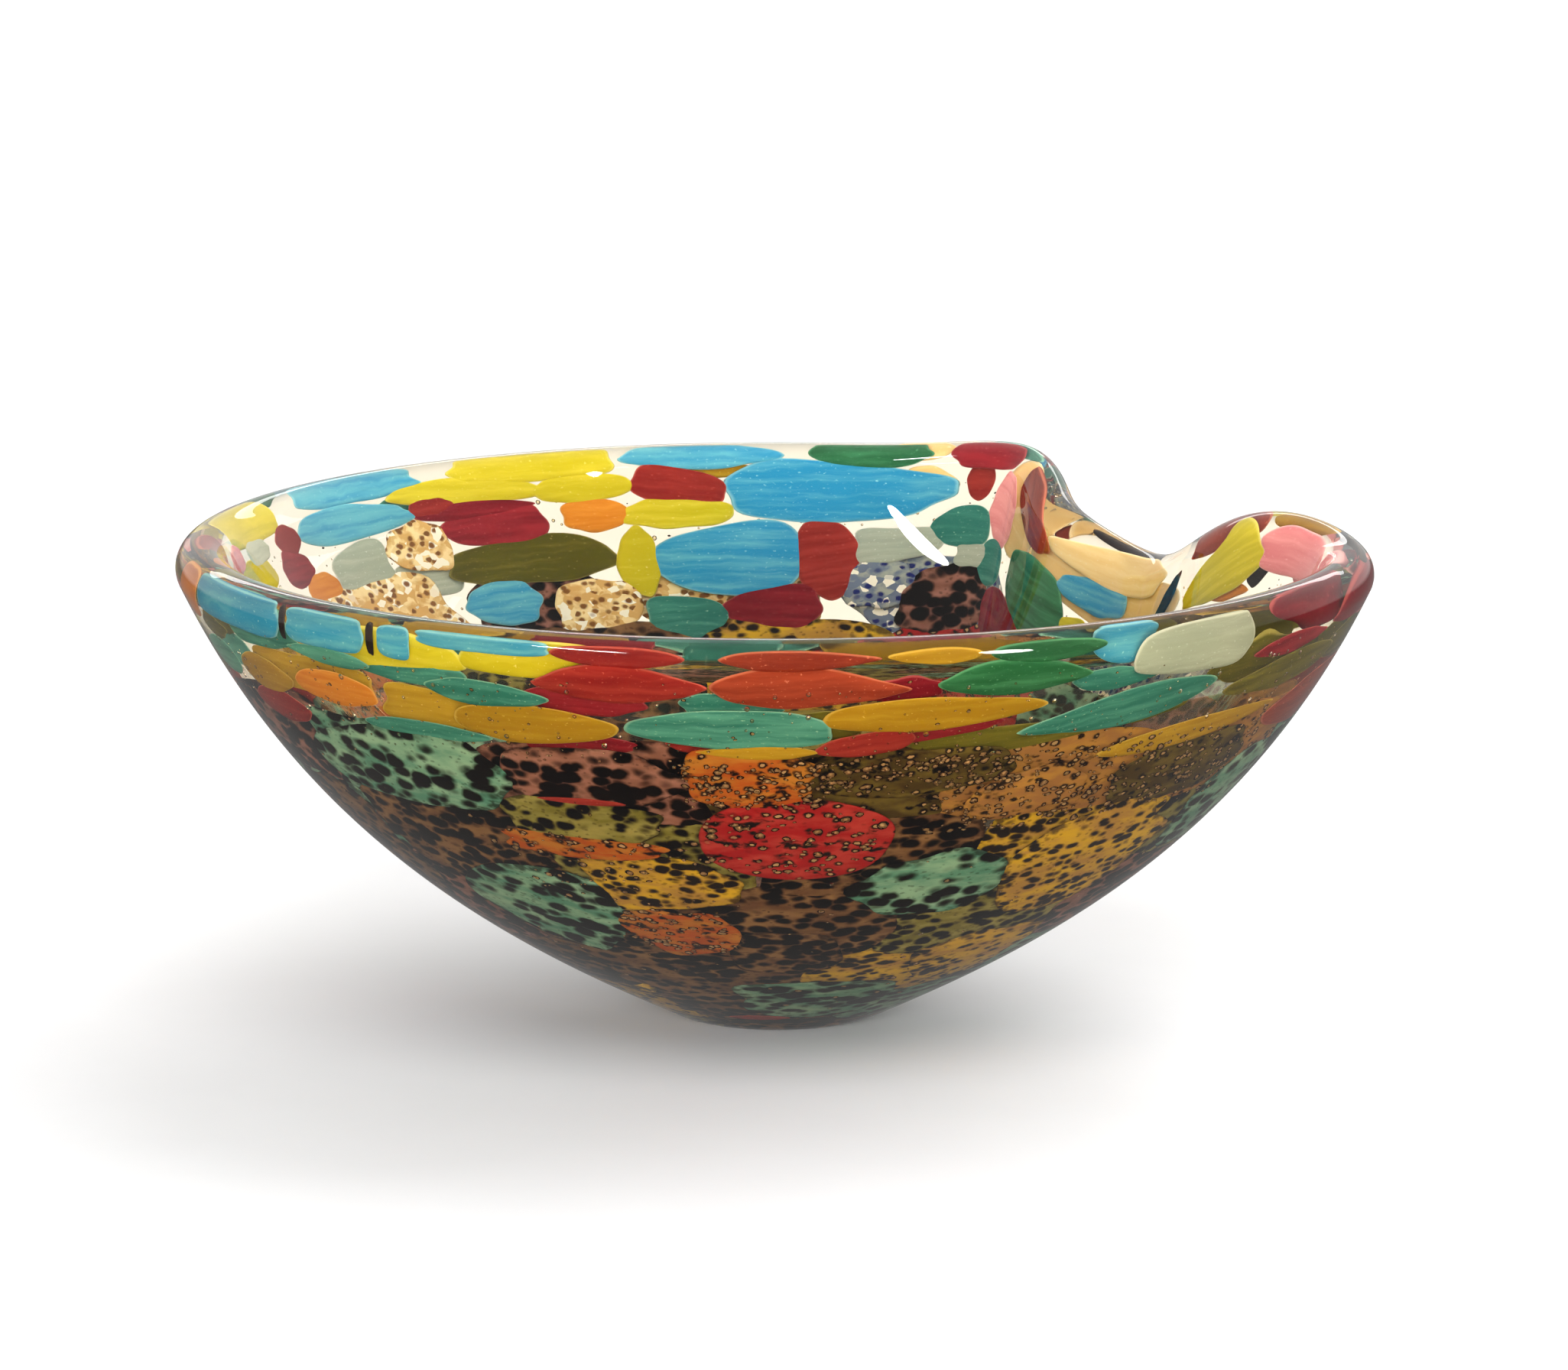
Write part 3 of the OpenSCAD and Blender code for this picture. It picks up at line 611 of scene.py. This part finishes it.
def leopard(name, main, other, spot, share=0.5, size=1.0):
    """Body glass with round soft dark spots over a streaky ground, burnt in places along its edge."""
    n = Nodes(name)
    _, rim = n.look()
    ground = n.mix(n.between(n.noise(n.grain(0.12, 0.3, 2.0, 0.2), 1.0, 4), 0.35, 0.65), main, other)
    distance, _ = n.cells(n.grain(0.38 / size, 0.54 / size, 1.3, 0.38), 0.85)
    patchy = n.noise(n.grain(0.1, 0.15), 1.0, 2)
    reach = n.math("ADD", n.math("MULTIPLY", patchy, 0.9), share - 0.42)
    blotch = n.between(n.math("SUBTRACT", reach, distance), -0.16, 0.12)
    fine, _ = n.cells(n.grain(0.9, 1.3, 0.6, 1.0))
    specks = n.math("MULTIPLY", n.between(fine, 0.34, 0.16), 0.45)
    ragged = n.math("ADD", rim, n.math("MULTIPLY", n.noise(n.grain(0.35, 0.5), 1.0, 3), 0.8))
    burnt = n.math("MULTIPLY", n.between(ragged, 1.3, 1.45), 0.8)
    blotch = n.math("MAXIMUM", n.math("MAXIMUM", blotch, specks), burnt)
    n.opaque_glass(n.mix(blotch, ground, spot))
    return n.material


def aventurine(name, main, other, dark, clouds=0.5):
    """Body glass with dark clouds and copper-gold grains, each in its own burnt ring."""
    n = Nodes(name)
    ground = n.mix(n.between(n.noise(n.grain(0.14, 0.4, 2.0, 0.25), 1.0, 4), 0.4, 0.65), main, other)
    cloud = n.between(n.noise(n.grain(0.25, 0.45, 1.8, 0.4), 1.0, 4), clouds, clouds + 0.1)
    ground = n.mix(cloud, ground, dark)
    distance, cell = n.cells(n.grain(0.58, 0.8, 0.7, 1.2))
    pick = n.add("ShaderNodeSeparateColor")
    n.put(pick.inputs[0], cell)
    kept = n.between(pick.outputs[0], 0.4, 0.5)
    halo = n.math("MULTIPLY", n.between(distance, 0.52, 0.3), kept)
    core = n.math("MULTIPLY", n.between(distance, 0.24, 0.18), kept)
    n.opaque_glass(n.mix(core, n.mix(halo, ground, dark), colour(176, 138, 92)))
    return n.material


def mottled(name, main, other, spot):
    """Pale inside glass, crackled into chips of three colours under soft clouds."""
    n = Nodes(name)
    ground = n.mix(n.between(n.noise(n.grain(0.3, 0.45, 2.0, 0.4), 1.0, 4), 0.4, 0.62), main, other)
    distance, chip = n.cells(n.grain(0.75, 1.0, 0.5, 0.9))
    pick = n.add("ShaderNodeSeparateColor")
    n.put(pick.inputs[0], chip)
    ground = n.mix(n.between(pick.outputs[0], 0.6, 0.75), ground, other)
    ground = n.mix(n.between(pick.outputs[1], 0.8, 0.9), ground, colour(244, 240, 224))
    dark = n.math("MULTIPLY", n.between(pick.outputs[2], 0.62, 0.75), n.between(distance, 0.6, 0.3))
    n.opaque_glass(n.mix(dark, ground, spot))
    return n.material


def flake_metal():
    n = Nodes("copper_gold_flake")
    place = n.add("ShaderNodeTexCoord").outputs["Object"]
    shader = n.add("ShaderNodeBsdfPrincipled", Metallic=0.7)
    gold = n.mix(n.noise(place, 900, 2), colour(214, 176, 122), colour(150, 104, 62))
    n.put(shader.inputs["Base Color"], gold)
    n.put(shader.inputs["Roughness"], n.between(n.noise(place, 1500, 1), -0.3, 1.6))
    n.put(n.out.inputs["Surface"], shader.outputs[0])
    return n.material


# Painted shadow: the dark plate set behind and around each gold flake
def flake_shadow():
    n = Nodes("painted_flake_shadow_glass")
    place = n.add("ShaderNodeTexCoord").outputs["Object"]
    n.opaque_glass(n.mix(n.noise(place, 700, 2), colour(30, 20, 16), colour(62, 44, 32)))
    return n.material


# Rim band glass: main colour, streaks and pale edge
BAND = {
    "turquoise": (colour(44, 108, 98), colour(84, 150, 134), colour(140, 188, 166)),
    "sky_blue": (colour(40, 132, 176), colour(100, 174, 192), colour(150, 206, 214)),
    "red": (colour(122, 28, 26), colour(148, 50, 42), colour(188, 92, 78)),
    "coral": (colour(118, 39, 23), colour(148, 61, 41), colour(198, 116, 88)),
    "orange": (colour(190, 110, 26), colour(208, 134, 44), colour(226, 168, 88)),
    "mustard": (colour(154, 116, 22), colour(178, 142, 38), colour(212, 178, 78)),
    "lime": (colour(182, 168, 26), colour(208, 192, 52), colour(224, 212, 108)),
    "olive": (colour(76, 72, 18), colour(108, 100, 34), colour(150, 138, 74)),
    "green": (colour(34, 86, 54), colour(60, 122, 84), colour(92, 156, 116)),
    "burgundy": (colour(104, 16, 28), colour(140, 36, 44), colour(172, 84, 84)),
    "pink": (colour(210, 122, 128), colour(228, 152, 152), colour(238, 190, 186)),
    "cream": (colour(228, 190, 124), colour(238, 210, 150), colour(242, 226, 188)),
    "white": (colour(156, 165, 150), colour(186, 192, 175), colour(212, 216, 204)),
    "canes": (colour(24, 16, 14), colour(44, 32, 26), colour(66, 52, 42)),
}

# Body patches by their letter: name, material and its values
DARK, SOOT = colour(14, 8, 8), colour(28, 18, 12)
BODY = {
    "T": ("teal_leopard", leopard, (colour(84, 136, 116), colour(140, 176, 150), DARK, 0.5, 1.2)),
    "M": ("mauve_leopard", leopard, (colour(124, 80, 66), colour(152, 104, 90), DARK, 0.56)),
    "O": ("olive_leopard", leopard, (colour(110, 102, 42), colour(148, 136, 72), DARK, 0.46)),
    "Y": ("mustard_leopard", leopard, (colour(206, 164, 32), colour(166, 124, 54), SOOT, 0.42, 0.8)),
    "B": ("brown_leopard", leopard, (colour(96, 66, 44), colour(132, 96, 62), DARK, 0.54, 0.95)),
    "R": ("red_aventurine", aventurine, (colour(150, 27, 29), colour(170, 54, 47), SOOT, 0.55)),
    "E": ("orange_aventurine", aventurine, (colour(166, 76, 26), colour(174, 110, 40), SOOT, 0.54)),
    "G": ("olive_aventurine", aventurine, (colour(66, 52, 24), colour(98, 82, 36), DARK, 0.56)),
    "A": ("gold_aventurine", aventurine, (colour(148, 102, 56), colour(172, 122, 54), SOOT, 0.57)),
    "C": ("mottled_cream", mottled, (colour(236, 214, 160), colour(204, 162, 98), colour(120, 76, 36))),
    "o": ("mottled_blue", mottled, (colour(156, 162, 152), colour(104, 116, 138), colour(30, 38, 100))),
}

# How far the melt has spread the glass past the size it was laid at: tesserae under the casing and
# on the lining, canes, patches that lie over, and the bricks of the courses
SPREAD_OVER, SPREAD_INNER, SPREAD_CANE, SPREAD_PATCH, SPREAD_BRICK = 0.4, 0.9, 0.1, 1.2, 1.9


def make_tesserae():
    rng = np.random.default_rng(5)
    for kind, rows in TESSERAE.items():
        node = "dark_canes" if kind == "canes" else kind + "_tesserae"
        piece = Piece()
        for row in rows:
            outer = row[5] == 0
            square = kind == "white" or (outer and kind in ("sky_blue", "canes"))
            power = BLOCK if square else rng.uniform(1.45, 2.1) if outer else rng.uniform(1.5, 2.8)
            wobble, spread = (0.035, SPREAD_OVER) if outer else (0.08, SPREAD_INNER)
            spread = SPREAD_CANE if kind == "canes" else spread
            add_tessera(piece, row, power, wobble, 0.3, spread, rng)
        piece.make(kind + "_glass", [streaky(kind, *BAND[kind])], node)
    for kind, (name, material, values) in BODY.items():
        piece = Piece()
        ragged = 0.2 if kind == "R" else 1
        for row in OVER[kind]:
            add_tessera(piece, row, 2.1 + 0.4 * ragged, 0.11 * ragged, 0.2 * ragged, SPREAD_PATCH, rng)
        for row in course_rows(kind):
            add_tessera(piece, row, BRICK, 0.085, 0.16, SPREAD_BRICK, rng)
        piece.make(name + "_glass", [material(name, *values)], name + "_patches")


# ---- aventurine flakes ----

# Slots of a flake: the gold lens, and the wider dark plate of painted shadow behind it
GOLD, PAINTED_SHADOW = 0, 1
# Where flakes lie thickly: [azimuth from, to, percent up from, to, how many, largest radius]
FLAKE_FIELDS = [
    [274, 296, 83.5, 88.9, 150, 0.5], [287, 331, 76.4, 88.6, 330, 0.5],
    [260, 275, 81.4, 88.2, 120, 0.5], [262, 283, 69.4, 80.5, 70, 0.6],
    [247, 262, 48, 60, 70, 0.5], [236, 262, 61, 76, 80, 0.5],
    [0, 360, 23, 88, 260, 0.45], [0, 360, 88, 99, 480, 0.24],
]


def add_flake(piece, az, share, size, depth, rng):
    """A small bent plate: a gold lens on a wider dark plate, which is painted shadow."""
    middle = inside_plus(np.array(az), np.array(share), np.array(depth))
    round_it, up, out = (v for v in axes(np.array(az), np.array(share)))
    n = 9
    phi = np.arange(n) * 2 * math.pi / n + rng.uniform(0, 6.3)
    stretch, lean = rng.uniform(0.5, 0.95), rng.uniform(-0.5, 0.5)
    for material, grow, lift, thick in ((PAINTED_SHADOW, 1.45, 0.0, 0.04), (GOLD, 1.0, 0.06, 0.1)):
        r = size * grow * (1 + 0.22 * rng.uniform(-1, 1, n))
        u, v = r * np.cos(phi), r * np.sin(phi) * stretch
        u, v = u * math.cos(lean) - v * math.sin(lean), u * math.sin(lean) + v * math.cos(lean)
        ring = middle + u[:, None] * round_it + v[:, None] * up + lift * out
        points = np.concatenate([ring, [middle + (lift + thick) * out, middle + (lift - 0.03) * out]])
        faces = [[i, (i + 1) % n, n] for i in range(n)] + [[(i + 1) % n, i, n + 1] for i in range(n)]
        piece.add(points, faces, material)


def make_flakes():
    rng = np.random.default_rng(23)
    piece = Piece()
    depth = layer_depth(0) + TESSERA_T + 0.05
    for low, high, bottom, top, count, largest in FLAKE_FIELDS:
        for _ in range(count):
            size = 0.3 * largest + 0.7 * largest * rng.random() ** 2.2
            add_flake(piece, rng.uniform(low, high), rng.uniform(bottom, top) / 100, size, depth, rng)
    piece.make("copper_gold_flakes", [flake_metal(), flake_shadow()], "aventurine_flakes")


# ---- floor, light and camera ----


def make_floor():
    mesh = bpy.data.meshes.new("floor")
    half = 6.0
    corners = [(-half, -half, 0), (half, -half, 0), (half, half, 0), (-half, half, 0)]
    mesh.from_pydata(corners, [], [[0, 1, 2, 3]])
    floor = bpy.data.objects.new("floor", mesh)
    bpy.context.scene.collection.objects.link(floor)
    floor.visible_glossy = False
    n = Nodes("floor_paper")
    place = n.add("ShaderNodeTexCoord").outputs["Object"]
    shader = n.add("ShaderNodeBsdfPrincipled", Roughness=0.6)
    shader.inputs["Specular IOR Level"].default_value = 0.2
    paper = n.mix(n.noise(place, 40, 3), (0.59, 0.59, 0.595), (0.62, 0.62, 0.625))
    n.put(shader.inputs["Base Color"], paper)
    n.put(n.out.inputs["Surface"], shader.outputs[0])
    mesh.materials.append(n.material)


def toward(azimuth, elevation):
    a, e = math.radians(azimuth), math.radians(elevation)
    return np.array([math.cos(a) * math.cos(e), math.sin(a) * math.cos(e), math.sin(e)])


def aim(thing, place, target, roll=0.0):
    turn = Vector(target - place).to_track_quat("-Z", "Y")
    thing.location = place
    thing.rotation_euler = (turn @ Quaternion((0, 0, 1), math.radians(roll))).to_euler()


def make_light(name, azimuth, elevation, distance, size, power, roll=0.0, mirrored=True, lights=True):
    """A soft box aimed at the bowl, which may leave out its highlight or leave only that."""
    data = bpy.data.lights.new(name, "AREA")
    data.shape, data.size, data.size_y, data.energy = "ELLIPSE", *size, power
    lamp = bpy.data.objects.new(name, data)
    bpy.context.scene.collection.objects.link(lamp)
    lamp.visible_glossy = mirrored
    lamp.visible_diffuse = lights
    middle = np.array([0, 0, 0.05])
    aim(lamp, toward(azimuth, elevation) * distance + middle, middle, roll)


def ramp_node(tree, value, low, high, out_low, out_high):
    ramp = tree.nodes.new("ShaderNodeMapRange")
    numbers = {"From Min": low, "From Max": high, "To Min": out_low, "To Max": out_high}
    for key, number in numbers.items():
        ramp.inputs[key].default_value = number
    tree.links.new(value, ramp.inputs["Value"])
    return ramp.outputs[0]


def make_world():
    """A pale room: brighter behind the bowl than behind the camera, and dim below."""
    world = bpy.data.worlds.new("studio")
    bpy.context.scene.world = world
    world.use_nodes = True
    tree = world.node_tree
    split = tree.nodes.new("ShaderNodeSeparateXYZ")
    tree.links.new(tree.nodes.new("ShaderNodeTexCoord").outputs["Generated"], split.inputs[0])
    front = ramp_node(tree, split.outputs[1], -0.8, 0.5, 0.35, 0.85)
    upper = ramp_node(tree, split.outputs[2], -0.05, 0.02, 0.25, 1.0)
    strength = tree.nodes.new("ShaderNodeMath")
    strength.operation = "MULTIPLY"
    tree.links.new(front, strength.inputs[0])
    tree.links.new(upper, strength.inputs[1])
    background = tree.nodes["Background"]
    background.inputs["Color"].default_value = (1.0, 0.99, 0.97, 1)
    tree.links.new(strength.outputs[0], background.inputs["Strength"])


def make_camera():
    distance, elevation = 1.1, 9.8
    above, target = np.array([0, 0, 0.065]), np.array([0.0009, 0, 0.0445])
    data = bpy.data.cameras.new("camera")
    data.sensor_width, data.lens = 36, 189.3
    data.clip_start, data.clip_end = 0.05, 50
    camera = bpy.data.objects.new("camera", data)
    bpy.context.scene.collection.objects.link(camera)
    aim(camera, toward(270, elevation) * distance + above, target)
    bpy.context.scene.camera = camera


clear = clear_glass("clear_glass", (0.90, 0.80, 0.60), (0.84, 0.72, 0.50))
straw = clear_glass("straw_glass", (0.98, 0.94, 0.84), (0.96, 0.90, 0.76))
fused = fused_face()
casing([clear, fused, ground_foot()])
lining([straw, fused])
make_tesserae()
make_flakes()
make_floor()
make_world()
make_light("key", 50, 40, 1.7, (2.4, 2.2), 48, mirrored=False)
make_light("fill", 272, 45, 1.8, (1.4, 1.0), 25, mirrored=False)
make_light("low_fill", 265, 7, 1.5, (3.0, 0.3), 66, mirrored=False)
make_light("window_left", 222.5, 50.4, 1.4, (0.05, 0.43), 7, roll=80, lights=False)
make_light("window_right", 317, 35, 1.4, (0.22, 0.34), 9, lights=False)
make_light("rim_strip", 92, 22, 1.6, (1.6, 0.16), 1.8, lights=False)
make_camera()
bpy.context.scene.view_settings.view_transform = "Standard"
